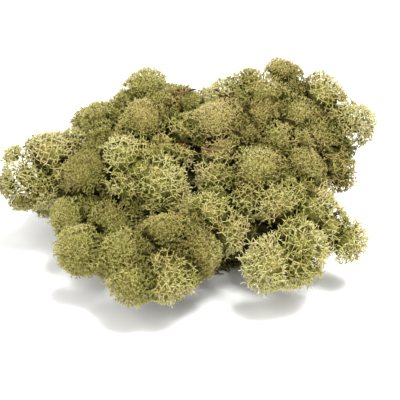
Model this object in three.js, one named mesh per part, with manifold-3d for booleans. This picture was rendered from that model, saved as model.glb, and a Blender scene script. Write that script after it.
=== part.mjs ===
// A clump of reindeer moss, a grey-green cushion lichen, as it is picked: rounded tufts of finely forked
// stems crowd round a tangle of old brown stems, with a twig and two fallen pine needles caught between them.
// Millimetres, +Z up. X runs along the clump's length, Y into its depth. The clump stands on the flat spot
// under its old stems, and the origin is the middle of that spot.
import * as THREE from "three";
import { mergeVertices } from "three/addons/utils/BufferGeometryUtils.js";
import Module from "manifold-3d";

const wasm = await Module();
wasm.setup();

// ---------------------------------------------------------------- driving dimensions

const SEAM = 0.3; // gap between the faces where two tufts press on each other
const SEED = 20417; // every random draw comes from this number
const FLOOR_CLEARANCE = 2; // no fork tip is lower than this, so the clump stands on its old stems
const UNDERGROUND_SIZE = 200; // everything below the floor is cut off, out to this far

// A lobe is a ball of forks on a dense heart of 20 faces. These sizes are shares of the lobe's own radius:
// where the heart's corners lie, and where a fork's stalk ends. Up to this many open faces have a fork.
const DENSE = { heart: 0.82, stalkTop: 0.86, forks: 7 };
const OPEN = { heart: 0.76, stalkTop: 0.83, forks: 7 };
const LACY = { heart: 0.6, stalkTop: 0.76, forks: 8 };
const OLD = { heart: 0.86, stalkTop: 0.9, forks: 1 };

const HEART_BUMP = 0.06; // how far a heart's corners move in or out, as a share of its radius
const STALK_RADIUS = 0.1; // at the top of a fork's stalk, as a share of the lobe's radius
const ARM_REACH = 0.3; // how far a fork's arms spread from the stalk's line, as such a share
const ARM_RISE = 0.1; // how far a fork's arms rise above its stalk, at the least, as such a share
const RANK_SPREAD = 1.2; // how far chance moves a face in the order in which faces get their forks
const OUTLOOK = 1.5; // a face is open if no lobe lies over it at this share of its own lobe's radius
const ARM_THICKNESS = 0.7; // of a fork's arms where they meet above the stalk
const LEAST_DEPTH = 0.15; // of the middle of a solid behind each of its faces

// A heart is drawn out to a point on the side of each lobe that it holds to. The point ends this far past the
// wall between the two, where the other tuft's point meets it flat, or the same tuft's point overlaps it.
const WALL_SINK = 1.4;
const JOIN_SINK = 4;
const FACE_DEPTH = 0.79; // the middle of a heart's face lies at this share of its corners' radius
const LIMB_SIDES = 3; // a thick old stem goes up to each tuft
const LIMB_RADIUS = 2.4;

const CLUMP_MIDDLE = new THREE.Vector3(0, 5, 30); // forks that look away from here come first
const MIDDLE = new THREE.Vector3(0, 0, 0);
const THIRD_TURN = (2 * Math.PI) / 3;
const UP = new THREE.Vector3(0, 0, 1);
const DOWN = new THREE.Vector3(0, 0, -1);
const ALONG_Y = new THREE.Vector3(0, 1, 0);

// ---------------------------------------------------------------- the tufts

// Each lobe is [x, y, z, radius]. A tuft grows from the old stems unless it names another tuft.
const TUFTS = {
  left_tip: {
    style: LACY,
    lobes: [
      [-102, -4, 55, 13], [-110, 2, 66, 6.5], [-113, -2, 48, 7.5], [-92, -8, 48, 10],
      [-106, -8, 42, 7.5],
    ],
  },
  left_brow: { style: OPEN, lobes: [[-88, 6, 65, 13], [-81, -4, 55, 10], [-97, 12, 65, 8.5]] },
  left_bud: { style: LACY, growsFrom: "left_brow", lobes: [[-75, 18, 67, 9], [-68, 20, 64, 7.5]] },
  left_cheek: { style: DENSE, lobes: [[-61, -12, 59, 16], [-55, 4, 65, 11], [-48, -22, 52, 9]] },
  left_low: { style: DENSE, lobes: [[-72, -32, 41, 13], [-60, -26, 45, 11]] },
  left_hollow: { style: DENSE, lobes: [[-44, -46, 44, 13]] },
  double_head: { style: DENSE, lobes: [[-57, 18, 73, 10], [-62, 28, 83, 10], [-50, 34, 79, 10]] },
  crown_left: { style: DENSE, lobes: [[-29, 48, 94, 14], [-39, 42, 90, 8.5]] },
  crown_collar: { style: DENSE, lobes: [[-20, 34, 88, 11]] },
  crown_notch: { style: DENSE, lobes: [[-4, 44, 85, 11]] },
  brown_brow: { style: DENSE, lobes: [[-29, 16, 80, 15]] },
  bright_front: {
    style: OPEN,
    lobes: [
      [-19, -28, 62, 17], [-38, -14, 70, 14], [-35, -30, 59, 12], [-24, -38, 53, 10],
      [-10, -34, 52, 10],
    ],
  },
  middle_net: {
    style: OPEN,
    lobes: [[-4, 14, 76, 13], [-6, 2, 66, 11], [-19, 2, 71, 12.5], [8, 8, 77, 9.5]],
  },
  top_middle: { style: DENSE, lobes: [[17, 10, 84, 15], [21, -6, 73, 11]] },
  top_lace: { style: LACY, lobes: [[21, 34, 93, 10], [28, 40, 97, 7.5]] },
  top_ridge: { style: DENSE, lobes: [[47, 34, 90, 15], [39, 46, 98, 10]] },
  crown_right: { style: DENSE, lobes: [[61, 52, 104, 12], [69, 42, 93, 11]] },
  right_shoulder: { style: OPEN, lobes: [[85, 38, 91, 14], [95, 28, 81, 11]] },
  right_tip: { style: LACY, growsFrom: "right_arm", lobes: [[104, 14, 83, 12]] },
  right_brown: { style: DENSE, lobes: [[42, 16, 84, 13], [36, 4, 77, 11.5]] },
  right_saddle: { style: DENSE, lobes: [[68, 22, 82, 13], [58, 26, 86, 9], [83, 28, 81, 9]] },
  right_arm: { style: DENSE, lobes: [[81, 14, 73, 14], [92, 22, 70, 11], [97, 14, 68, 8]] },
  right_middle: { style: DENSE, lobes: [[53, 0, 73, 13], [66, -14, 66, 12], [59, -20, 60, 10]] },
  right_side: { style: OPEN, lobes: [[90, 8, 60, 13], [78, 0, 48, 14], [96, 8, 48, 8]] },
  belly_right: { style: DENSE, lobes: [[41, -22, 65, 16]] },
  belly_middle: { style: OPEN, lobes: [[18, -18, 60, 14]] },
  belly_low: { style: OPEN, lobes: [[52, -40, 54, 15], [35, -36, 54, 11]] },
  right_fan: { style: OPEN, lobes: [[74, -36, 46, 15], [83, -42, 34, 9.5]] },
  right_spray: { style: LACY, growsFrom: "right_fan", lobes: [[84, -46, 37, 9], [94, -48, 34, 11]] },
  front_right: {
    style: OPEN,
    lobes: [[47, -74, 36, 15], [64, -66, 39, 14], [62, -76, 34, 10], [60, -56, 46, 9]],
  },
  hanging: { style: OPEN, lobes: [[13, -48, 50, 13], [24, -58, 44, 11]] },
  front_middle: { style: DENSE, lobes: [[-14, -66, 46, 14], [4, -70, 40, 13], [2, -56, 48, 10]] },
  front_lip: { style: DENSE, lobes: [[-35, -78, 41, 13], [-31, -89, 33, 13], [-45, -74, 36, 9]] },
  front_lip_right: { style: OPEN, lobes: [[-12, -88, 35, 13], [-1, -80, 33, 8.5]] },
  front_left: { style: DENSE, lobes: [[-63, -62, 35, 14], [-49, -58, 38, 9.5]] },
  back_left_end: { style: DENSE, lobes: [[-86, 32, 44, 18], [-94, 16, 32, 14]] },
  back_left_low: { style: DENSE, lobes: [[-66, 54, 28, 19]] },
  back_left_high: { style: DENSE, lobes: [[-56, 54, 56, 20]] },
  back_middle_high: { style: DENSE, lobes: [[-24, 69, 61, 20], [8, 68, 60, 20]] },
  back_middle_low: { style: DENSE, lobes: [[-30, 78, 31, 20], [4, 80, 30, 20]] },
  back_right_high: { style: DENSE, lobes: [[68, 58, 67, 19], [38, 66, 66, 20]] },
  back_right_low: { style: DENSE, lobes: [[39, 76, 32, 20]] },
  back_right_end: { style: DENSE, lobes: [[74, 56, 34, 19], [89, 34, 50, 17]] },
};

// The tangle of old stems fills the clump's inside. Only its lowest balls reach the surface it stands on.
const OLD_STEMS = [
  [0, 2, 12, 38], [-32, -4, 16, 27], [32, -2, 16, 27], [-4, 26, 20, 27], [-60, -2, 36, 23],
  [-84, 4, 42, 17], [-54, 24, 46, 23], [-40, 30, 38, 28], [-52, -40, 28, 18], [-14, -50, 30, 20],
  [-24, -66, 26, 17], [-20, -16, 42, 20], [14, -30, 40, 16], [42, -46, 30, 18], [62, -30, 34, 16],
  [60, 8, 38, 27], [62, 34, 40, 24], [34, 42, 40, 30], [-6, 58, 38, 27], [-26, 10, 54, 24],
  [10, 14, 50, 24], [42, 14, 52, 24], [70, 14, 56, 18], [-28, 40, 62, 24], [20, 44, 64, 24],
  [62, 40, 66, 22],
];

// Twig and needles. Each is a row of rods, and a rod is its middle line, from end to end, and its radius.
const STICKS = {
  twig: [
    { line: [[-14.4, 35, 93.8], [-5, 37.5, 95.8], [3.6, 41, 96]], radius: 0.6 },
    { line: [[-4.4, 38.2, 95.4], [-3.4, 38.6, 98.4], [-0.5, 39, 99.7]], radius: 0.5 },
  ],
  needle_high: [{ line: [[-8.3, 4, 74.4], [-4.5, 3, 74.3], [-0.8, 1.5, 73.5]], radius: 0.5 }],
  needle_low: [{ line: [[6.8, -11, 78.5], [12.3, -12, 77.5], [17.9, -12.5, 75.9]], radius: 0.5 }],
};
const STICK_SIDES = 6;
const STICK_STEPS = 3;
const STICK_CLEARANCE = 0.35; // free width round a stick where it lies in a tuft

// ---------------------------------------------------------------- materials

const finish = (color, roughness) => new THREE.MeshStandardMaterial({ color, roughness, metalness: 0 });
const MOSS = finish(0x9a9a4e, 0.95);
const OLD_MOSS = finish(0x5a5236, 1);
const WOOD = finish(0x8a5240, 0.7);

// ---------------------------------------------------------------- solids

// A generator of numbers from 0 to 1 that always gives the same run for the same seed.
function numbersFrom(seed) {
  let state = seed >>> 0;
  return () => {
    state = (state + 0x6d2b79f5) >>> 0;
    let t = Math.imul(state ^ (state >>> 15), 1 | state);
    t = (t + Math.imul(t ^ (t >>> 7), 61 | t)) ^ t;
    return ((t ^ (t >>> 14)) >>> 0) / 4294967296;
  };
}

// A geometry's corners and faces only, with corners that coincide merged.
function mergedCorners(geometry) {
  const bare = geometry.clone();
  bare.deleteAttribute("normal");
  bare.deleteAttribute("uv");
  return mergeVertices(bare, 1e-4);
}

// A closed geometry as a manifold-3d solid.
function solidOf(geometry) {
  const merged = mergedCorners(geometry);
  return new wasm.Manifold(
    new wasm.Mesh({
      numProp: 3,
      vertProperties: new Float32Array(merged.attributes.position.array),
      triVerts: new Uint32Array(merged.index.array),
    }),
  );
}

function geometryOf(solid) {
  const mesh = solid.getMesh();
  const corners = new Float32Array(mesh.numVert * 3);
  for (let i = 0; i < mesh.numVert; i++) {
    corners.set(mesh.vertProperties.subarray(i * mesh.numProp, i * mesh.numProp + 3), i * 3);
  }
  const geometry = new THREE.BufferGeometry();
  geometry.setAttribute("position", new THREE.BufferAttribute(corners, 3));
  geometry.setIndex(new THREE.BufferAttribute(new Uint32Array(mesh.triVerts), 1));
  return geometry;
}

// The largest piece of a solid: a scrap that a cut leaves loose is dropped.
function largestPiece(solid) {
  return solid.decompose().reduce((best, piece) => (piece.volume() > best.volume() ? piece : best));
}

const headingTo = (lobe, other) => other.centre.clone().sub(lobe.centre).normalize();

// Everything beyond the plane through point, on the side that direction points to, within size.
function beyond(point, direction, size) {
  const block = new THREE.BoxGeometry(2 * size, 2 * size, 2 * size);
  block.translate(0, 0, size);
  block.applyQuaternion(new THREE.Quaternion().setFromUnitVectors(UP, direction));
  block.translate(point.x, point.y, point.z);
  return solidOf(block);
}

// How far from a lobe's centre the wall between it and another lobe stands: where the two balls' surfaces
// meet, so it is the same plane seen from either side.
function wallReach(lobe, other) {
  const apart = lobe.centre.distanceTo(other.centre);
  return (apart ** 2 + lobe.radius ** 2 - other.radius ** 2) / (2 * apart);
}

// The walls that part one lobe from the lobes of other tufts, out to the given reach.
function wallsOf(lobe, lobes, farthest) {
  return lobes
    .filter((other) => other.tuft !== lobe.tuft)
    .map((other) => ({ direction: headingTo(lobe, other), reach: wallReach(lobe, other) - SEAM / 2 }))
    .filter(({ reach }) => reach < farthest);
}

// A solid cut back to the lobe's own side of every wall it could cross.
function keptInside(solid, lobe, lobes) {
  const { min, max } = solid.boundingBox();
  const corner = new THREE.Vector3();
  min.forEach((low, i) => {
    const middle = lobe.centre.getComponent(i);
    corner.setComponent(i, Math.max(max[i] - middle, middle - low));
  });
  const size = 2 * corner.length();
  return wallsOf(lobe, lobes, corner.length()).reduce((kept, { direction, reach }) => {
    const foot = lobe.centre.clone().addScaledVector(direction, reach);
    return kept.subtract(beyond(foot, direction, size));
  }, solid);
}

// True if the point lies behind every face, so that no two of the faces cross.
function liesBehind(point, faces) {
  const plane = new THREE.Plane();
  return faces.every((face) => plane.setFromCoplanarPoints(...face).distanceToPoint(point) < -LEAST_DEPTH);
}

// The faces of a lobe's heart, with corners measured from its middle: those of a ball of 20 faces, turned and
// bumped by chance. For each lobe that it holds to, a corner is drawn out, unless the faces reach far enough
// already.
function heartFaces(lobe, random) {
  const ball = mergedCorners(new THREE.IcosahedronGeometry(1, 0));
  const turn = new THREE.Quaternion().setFromEuler(
    new THREE.Euler(2 * Math.PI * random(), 2 * Math.PI * random(), 2 * Math.PI * random()),
  );
  const radius = lobe.style.heart * lobe.radius;
  const corners = [];
  for (let i = 0; i < ball.attributes.position.count; i++) {
    const bump = 1 + HEART_BUMP * (2 * random() - 1);
    const corner = new THREE.Vector3().fromBufferAttribute(ball.attributes.position, i);
    corners.push(corner.applyQuaternion(turn).multiplyScalar(radius * bump));
  }
  const free = new Set(corners.keys());
  for (const other of lobe.style === OLD ? [] : lobe.holdsTo) {
    const direction = headingTo(lobe, other);
    const reach = wallReach(lobe, other) + (other.tuft === lobe.tuft ? JOIN_SINK : WALL_SINK);
    if (reach < FACE_DEPTH * radius) continue;
    const turnTo = (i) => corners[i].angleTo(direction);
    const nearest = [...free].reduce((best, i) => (turnTo(i) < turnTo(best) ? i : best));
    corners[nearest] = direction.multiplyScalar(reach);
    free.delete(nearest);
  }
  const faces = [];
  for (let i = 0; i < ball.index.count; i += 3) {
    faces.push([...ball.index.array.slice(i, i + 3)].map((corner) => corners[corner]));
  }
  return faces;
}

// A point, drawn in towards the middle of its lobe until it clears every wall.
function withinWalls(point, walls) {
  const shares = walls.map(({ direction, reach }) => {
    const along = point.dot(direction);
    return along > 0 ? (reach - SEAM) / along : 1;
  });
  return point.multiplyScalar(Math.min(1, ...shares));
}

// A closed fork on a face of the heart, or nothing where it has no room: a stalk that narrows upwards from
// the face's edges, whose top is parted into three arms that spread like a star.
function forkOn(foot, lobe, walls, lobes, random) {
  const middle = foot[0].clone().add(foot[1]).add(foot[2]).divideScalar(3);
  const out = middle.clone().normalize();
  const across = foot[0].clone().projectOnPlane(out).normalize();
  const side = out.clone().cross(across);
  const placeAt = (turn, spread, height) =>
    out
      .clone()
      .multiplyScalar(height)
      .addScaledVector(across, spread * Math.cos(turn))
      .addScaledVector(side, spread * Math.sin(turn))
      .multiplyScalar(lobe.radius);
  const lean = 0.5 * (random() - 0.5);
  const arms = [0.5, 1.5, 2.5].map((i) => {
    const arm = placeAt(i * THIRD_TURN + lean, ARM_REACH * (0.8 + 0.4 * random()), 0.95 + 0.05 * random());
    return withinWalls(arm, walls);
  });
  const lowestArm = Math.min(...arms.map((arm) => arm.dot(out))) / lobe.radius;
  const height = Math.min(lobe.style.stalkTop, lowestArm - ARM_RISE);
  const outlook = placeAt(0, 0, OUTLOOK).add(lobe.centre);
  if (lobes.some((other) => other !== lobe && outlook.distanceTo(other.centre) < other.radius)) return null;

  const ring = [0, 1, 2].map((i) => placeAt(i * THIRD_TURN, STALK_RADIUS, height));
  const saddle = placeAt(0, 0, height + ARM_THICKNESS / lobe.radius);
  const sides = [0, 1, 2].flatMap((i) => {
    const j = (i + 1) % 3;
    return [
      [foot[i], foot[j], ring[j]],
      [foot[i], ring[j], ring[i]],
      [ring[i], ring[j], arms[i]],
      [ring[j], saddle, arms[i]],
      [saddle, ring[i], arms[i]],
    ];
  });
  const faces = [...sides, [foot[2], foot[1], foot[0]]];
  return liesBehind(placeAt(0, 0, height), faces) ? solidAt(lobe.centre, faces) : null;
}

// The solid inside the given triangles, whose corners are measured from the place where it goes.
function solidAt(place, triangles) {
  const geometry = new THREE.BufferGeometry().setFromPoints(triangles.flat());
  return solidOf(geometry.translate(place.x, place.y, place.z));
}

// A heart with forks on its open faces, up to the number that its style allows. The faces that look away
// from the clump's middle come first, roughly.
function forkedLobe(lobe, lobes, random) {
  let faces = heartFaces(lobe, random);
  while (!liesBehind(MIDDLE, faces)) faces = heartFaces(lobe, random);
  const away = lobe.centre.clone().sub(CLUMP_MIDDLE).normalize();
  const feet = faces.map((foot) => {
    const outward = foot.reduce((sum, corner) => sum + corner.dot(away), 0) / lobe.radius;
    return { foot, rank: outward + RANK_SPREAD * random() };
  });
  feet.sort((a, b) => b.rank - a.rank);
  const floor = { direction: DOWN, reach: lobe.centre.z - FLOOR_CLEARANCE };
  const walls = [...wallsOf(lobe, lobes, lobe.radius), floor];
  const forks = feet.map(({ foot }) => forkOn(foot, lobe, walls, lobes, random)).filter(Boolean);
  const heart = solidAt(lobe.centre, faces);
  return forks.slice(0, lobe.style.forks).reduce((solid, fork) => solid.add(fork), heart);
}

// The half of a thick stem that lies on the side of the lobe it starts from.
function limbFrom(lobe, other, lobes) {
  const run = other.centre.clone().sub(lobe.centre);
  const limb = new THREE.CylinderGeometry(LIMB_RADIUS, LIMB_RADIUS, run.length(), LIMB_SIDES);
  limb.translate(0, run.length() / 2, 0);
  limb.applyQuaternion(new THREE.Quaternion().setFromUnitVectors(ALONG_Y, run.normalize()));
  limb.translate(lobe.centre.x, lobe.centre.y, lobe.centre.z);
  return keptInside(solidOf(limb), lobe, lobes);
}

// The two lobes, one from each row, whose balls lie closest together.
function closestPair(own, others) {
  const gap = ([from, to]) => from.centre.distanceTo(to.centre) - from.radius - to.radius;
  const pairs = own.flatMap((from) => others.map((to) => [from, to]));
  return pairs.reduce((best, pair) => (gap(pair) < gap(best) ? pair : best));
}

// One tuft: its lobes, each cut back to its own side of every wall, and grown together.
function tuftSolid(name, lobes, random) {
  const pieces = [];
  for (const lobe of lobes.filter((each) => each.tuft === name)) {
    pieces.push(keptInside(forkedLobe(lobe, lobes, random), lobe, lobes));
    if (lobe.style !== OLD) continue;
    for (const other of lobe.holdsTo) {
      const met = other.tuft === name && wallReach(lobe, other) < FACE_DEPTH * lobe.style.heart * lobe.radius;
      if (!met) pieces.push(limbFrom(lobe, other, lobes));
    }
  }
  return pieces.reduce((tuft, piece) => tuft.add(piece));
}

// A stick is a row of thin six-sided rods along bent lines, grown together. Their ends are closed.
function stickSolid(rods, extra) {
  const solids = rods.map(({ line, radius }) => {
    const path = new THREE.QuadraticBezierCurve3(...line.map((place) => new THREE.Vector3(...place)));
    const section = new THREE.Shape();
    for (let i = 0; i < STICK_SIDES; i++) {
      const angle = (2 * Math.PI * i) / STICK_SIDES;
      const corner = [(radius + extra) * Math.cos(angle), (radius + extra) * Math.sin(angle)];
      if (i) section.lineTo(...corner);
      else section.moveTo(...corner);
    }
    section.closePath();
    return solidOf(new THREE.ExtrudeGeometry(section, { steps: STICK_STEPS, extrudePath: path }));
  });
  return solids.reduce((stick, rod) => stick.add(rod));
}

// ---------------------------------------------------------------- the clump

const clump = new THREE.Group();
function addPiece(name, solid, material) {
  const mesh = new THREE.Mesh(geometryOf(solid), material);
  mesh.name = name;
  clump.add(mesh);
}

const lobes = [];
function addLobe(tuft, style, x, y, z, radius) {
  lobes.push({ tuft, style, centre: new THREE.Vector3(x, y, z), radius, holdsTo: [] });
}
for (const [tuft, { style, lobes: rows }] of Object.entries(TUFTS)) {
  for (const [x, y, z, radius] of rows) addLobe(tuft, style, x, y, z, radius);
}
for (const [x, y, z, radius] of OLD_STEMS) {
  addLobe("old_stems", OLD, x, y, z, radius);
}

function hold(from, to) {
  from.holdsTo.push(to);
  to.holdsTo.push(from);
}
const lobesOf = (name) => lobes.filter((lobe) => lobe.tuft === name);
const names = [...Object.keys(TUFTS), "old_stems"];
for (const name of names) {
  const own = lobesOf(name);
  own.slice(1).forEach((lobe, i) => hold(...closestPair([lobe], own.slice(0, i + 1))));
}
for (const [name, { growsFrom = "old_stems" }] of Object.entries(TUFTS)) {
  hold(...closestPair(lobesOf(name), lobesOf(growsFrom)));
}
const hollows = Object.values(STICKS).map((stick) => stickSolid(stick, STICK_CLEARANCE));
const underground = beyond(MIDDLE, DOWN, UNDERGROUND_SIZE);
names.forEach((name, index) => {
  let solid = tuftSolid(name, lobes, numbersFrom(SEED + index)).subtract(underground);
  for (const hollow of hollows) solid = solid.subtract(hollow);
  addPiece(name, largestPiece(solid), name === "old_stems" ? OLD_MOSS : MOSS);
});
for (const [name, stick] of Object.entries(STICKS)) addPiece(name, stickSolid(stick, 0), WOOD);

export default clump;
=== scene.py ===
"""A clump of reindeer moss: rounded heads of finely forked stems round a tangle of old brown ones.

A head is made of lobes, and a lobe is a ball covered with small florets that blend into each other. Whorls
of forks stand on that blended surface and in storeys below it, stems join each storey to the next one down,
and a rough skin closes the lobe inside. Every stem is a thin tapered tube, and a whole storey of them is
worked out at once. Light and shade are painted into the colours: stems are darker the deeper they stand, in
creases between lobes and in hollows, and the skin is dark with painted shade.
"""

from collections import namedtuple

import bpy
import numpy as np
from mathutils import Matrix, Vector


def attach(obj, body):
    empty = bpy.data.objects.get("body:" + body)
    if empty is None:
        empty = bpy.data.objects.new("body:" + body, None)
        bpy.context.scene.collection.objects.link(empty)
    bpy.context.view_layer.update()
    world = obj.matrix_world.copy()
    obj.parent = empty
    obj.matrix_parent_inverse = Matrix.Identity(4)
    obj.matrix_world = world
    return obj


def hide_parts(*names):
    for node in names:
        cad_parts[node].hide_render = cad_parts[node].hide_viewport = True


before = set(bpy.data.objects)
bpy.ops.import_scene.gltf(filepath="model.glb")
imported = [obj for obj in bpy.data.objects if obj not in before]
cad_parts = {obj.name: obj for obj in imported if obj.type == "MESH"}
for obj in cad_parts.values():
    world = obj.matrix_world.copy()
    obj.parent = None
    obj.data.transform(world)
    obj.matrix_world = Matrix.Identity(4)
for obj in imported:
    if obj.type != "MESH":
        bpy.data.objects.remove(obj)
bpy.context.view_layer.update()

MM = 0.001
GOLDEN_ANGLE = np.pi * (3 - 5**0.5)
ASKEW = np.array([0.31, 0.17, 0.23])  # tips a stem's chord aside, to find a direction across it

# -------------------------------- how the heads grow

# Lengths are in millimetres up to the materials.
#   spacing     between whorls on the surface
#   arms        forks to a whorl
#   reach       how far an arm spreads sideways
#   rise        how far an arm stands up from its whorl
#   root, tip   an arm's radius where it starts and at its end
#   prongs      little tips on each arm's end
#   links       neighbours that a whorl of the top storey is joined to, which makes a net
#   storeys     how far below the surface the whorls stand, storey by storey
#   skin        how far below the surface the skin lies
#   solid       the share of its lobe's radius that the skin keeps at least
#   ragged      how far single whorls stand out
Habit = namedtuple("Habit", "spacing arms reach rise root tip prongs links storeys skin solid ragged")
HABITS = {
    "fine": Habit(1.62, 3, 1.1, 1.0, 0.24, 0.12, 0, 0, (0, 1.5), 2.3, 0.66, 1.6),
    "dense": Habit(2.0, 4, 1.4, 1.2, 0.26, 0.14, 0, 0, (0, 1.9), 3.1, 0.66, 2.2),
    "open": Habit(3.0, 3, 1.6, 1.3, 0.28, 0.18, 2, 3, (0, 2.2, 4.0), 4.2, 0.66, 3.0),
    "spray": Habit(3.3, 3, 2.3, 1.8, 0.31, 0.20, 2, 2, (0, 2.4, 4.6), 5.2, 0.64, 4.5),
    "lacy": Habit(2.4, 3, 1.5, 1.2, 0.24, 0.15, 2, 3, (0, 2.0, 4.2, 6.6), 9.0, 0.42, 2.8),
    "rear": Habit(2.6, 4, 1.6, 1.3, 0.32, 0.18, 0, 0, (0, 2.2), 3.4, 0.66, 2.6),
    "under": Habit(3.2, 4, 1.9, 1.4, 0.32, 0.18, 0, 0, (0, 2.0), 3.0, 0.66, 2.6),
    "old": Habit(4.8, 3, 3.6, 0.8, 0.50, 0.30, 0, 2, (0, 2.0), 2.6, 0.66, 1.0),
}

# Each tuft: its habit, how ochre it is (0 green, 1 ochre brown), its painted light (below 1 the tuft is
# painted darker as if in shade, above 1 lighter), and its lobes, each with its middle's x, y and z and its
# radius.
TUFTS = {
    "left_tip": (
        "lacy", 0.15, 1.1,
        [
            (-102, -4, 55, 13), (-110, 2, 66, 6.5), (-113, -2, 48, 7.5), (-92, -8, 48, 10),
            (-106, -8, 42, 7.5),
        ],
    ),
    "left_brow": ("open", 0.3, 1.1, [(-88, 6, 65, 13), (-81, -4, 55, 10), (-97, 12, 65, 8.5)]),
    "left_bud": ("lacy", 0.2, 1.0, [(-75, 18, 67, 9), (-68, 20, 64, 7.5)]),
    "left_cheek": ("fine", 0.35, 0.72, [(-61, -12, 59, 16), (-55, 4, 65, 11), (-48, -22, 52, 9)]),
    "left_low": ("dense", 0.15, 0.85, [(-72, -32, 41, 13), (-60, -26, 45, 11)]),
    "left_hollow": ("dense", 0.2, 0.8, [(-44, -46, 44, 13), (-33, -42, 50, 9), (-54, -42, 44, 8)]),
    "double_head": ("dense", 0.1, 0.95, [(-55, 18, 73, 9.5), (-59, 28, 82, 9.5), (-49, 34, 79, 9.5)]),
    "crown_left": ("dense", 0.1, 1.0, [(-29, 48, 94, 12.5), (-38, 42, 89, 8.5)]),
    "crown_collar": ("fine", 0.55, 0.88, [(-20, 34, 88, 11)]),
    "crown_notch": ("dense", 0.1, 0.75, [(-4, 44, 85, 11)]),
    "brown_brow": ("fine", 0.38, 0.88, [(-29, 16, 80, 15), (-17, 22, 82, 9), (-40, 4, 74, 9)]),
    "bright_front": (
        "open", 0.1, 1.02,
        [
            (-19, -28, 61, 15.5), (-38, -14, 70, 14), (-35, -30, 59, 12), (-24, -38, 53, 10),
            (-10, -34, 52, 10), (-29, -23, 66, 13), (-22, -12, 68, 10),
        ],
    ),
    "middle_net": (
        "open", 0.25, 0.95,
        [(-4, 14, 76, 13), (-6, 2, 66, 11), (-19, 2, 71, 12.5), (8, 8, 77, 9.5)],
    ),
    "top_middle": ("fine", 0.45, 1.05, [(17, 10, 84, 15), (21, -6, 73, 11), (29, 10, 83, 10)]),
    "top_lace": ("lacy", 0.2, 1.15, [(21, 34, 93, 10), (28, 40, 97, 7.5)]),
    "top_ridge": (
        "dense", 0.3, 1.1,
        [(47, 34, 90, 15), (39, 46, 98, 10), (32, 26, 88, 10), (46, 25, 88, 9)],
    ),
    "crown_right": (
        "fine", 0.35, 1.05,
        [(61, 52, 101.5, 11), (69, 42, 92, 11), (59, 45, 92, 11), (78, 44, 92, 9)],
    ),
    "right_shoulder": (
        "open", 0.3, 1.1,
        [(85, 38, 91, 14), (95, 28, 81, 11), (90, 28, 73, 11), (80, 46, 84, 10), (88, 38, 79, 10)],
    ),
    "right_tip": ("lacy", 0.25, 1.1, [(104, 14, 83, 12), (97, 17, 77, 9)]),
    "right_brown": ("fine", 0.5, 1.0, [(42, 16, 84, 13), (36, 4, 77, 11.5)]),
    "right_saddle": ("fine", 0.45, 1.05, [(68, 22, 82, 13), (58, 26, 86, 9), (83, 28, 81, 9)]),
    "right_arm": (
        "dense", 0.3, 1.0,
        [(81, 14, 73, 14), (92, 22, 70, 11), (97, 14, 68, 8), (71, 5, 74, 10)],
    ),
    "right_middle": (
        "dense", 0.3, 0.98,
        [(53, 0, 73, 13), (66, -14, 66, 12), (59, -20, 60, 10), (48, -11, 71, 9), (74, -8, 62, 9)],
    ),
    "right_side": ("open", 0.5, 0.8, [(90, 8, 60, 13), (78, 0, 48, 14), (96, 8, 48, 8)]),
    "belly_right": ("dense", 0.3, 1.0, [(41, -22, 65, 16), (53, -27, 61, 10), (38, -8, 70, 9)]),
    "belly_middle": ("open", 0.2, 0.95, [(18, -18, 60, 14), (29, -22, 61, 9)]),
    "belly_low": ("open", 0.15, 0.95, [(52, -40, 54, 15), (35, -36, 54, 11), (65, -31, 55, 10)]),
    "right_fan": ("spray", 0.15, 1.0, [(74, -36, 46, 15), (83, -42, 34, 9.5)]),
    "right_spray": ("spray", 0.15, 1.1, [(84, -44, 40, 11), (94, -48, 34, 11)]),
    "front_right": (
        "spray", 0.1, 0.98,
        [(47, -74, 36, 15), (64, -66, 39, 14), (62, -76, 34, 10), (60, -56, 46, 9)],
    ),
    "hanging": ("open", 0.2, 0.88, [(13, -48, 50, 13), (24, -58, 44, 11), (18, -34, 55, 9)]),
    "front_middle": (
        "dense", 0.35, 0.85,
        [(-14, -66, 46, 14), (4, -70, 40, 13), (2, -56, 48, 10), (-24, -74, 43, 9), (-6, -74, 43, 10)],
    ),
    "front_lip": (
        "dense", 0.15, 0.88,
        [(-35, -78, 41, 13), (-31, -88, 33, 13), (-45, -74, 36, 9), (-21, -87, 37, 9)],
    ),
    "front_lip_right": ("open", 0.15, 0.95, [(-12, -88, 35, 13), (-1, -80, 33, 8.5)]),
    "front_left": ("dense", 0.15, 0.85, [(-63, -62, 35, 14), (-49, -58, 38, 9.5)]),
    "back_left_end": (
        "rear", 0.25, 0.95,
        [(-86, 32, 44, 18), (-94, 16, 32, 14), (-90, 42, 56, 9), (-96, 34, 33, 10)],
    ),
    "back_left_low": ("rear", 0.25, 0.9, [(-66, 54, 28, 19), (-54, 68, 43, 11), (-77, 52, 43, 11)]),
    "back_left_high": ("dense", 0.3, 0.95, [(-56, 54, 56, 20), (-44, 62, 74, 11), (-70, 60, 64, 10)]),
    "back_middle_high": (
        "rear", 0.25, 1.0,
        [(-24, 69, 61, 20), (8, 68, 60, 20), (-9, 82, 54, 10), (-14, 64, 79, 11), (14, 62, 80, 9)],
    ),
    "back_middle_low": (
        "rear", 0.2, 0.95,
        [(-30, 78, 31, 20), (4, 80, 30, 20), (-14, 84, 44, 12), (-40, 78, 46, 11), (9, 83, 46, 11)],
    ),
    "back_right_high": (
        "dense", 0.3, 1.0,
        [(68, 58, 67, 19), (38, 66, 66, 20), (53, 72, 56, 11), (48, 62, 84, 9)],
    ),
    "back_right_low": ("rear", 0.2, 0.95, [(39, 76, 32, 20), (24, 83, 45, 11), (50, 75, 48, 11)]),
    "back_right_end": (
        "rear", 0.25, 0.95,
        [(74, 56, 34, 19), (89, 34, 50, 17), (84, 50, 49, 11), (68, 65, 50, 11)],
    ),
}

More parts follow.
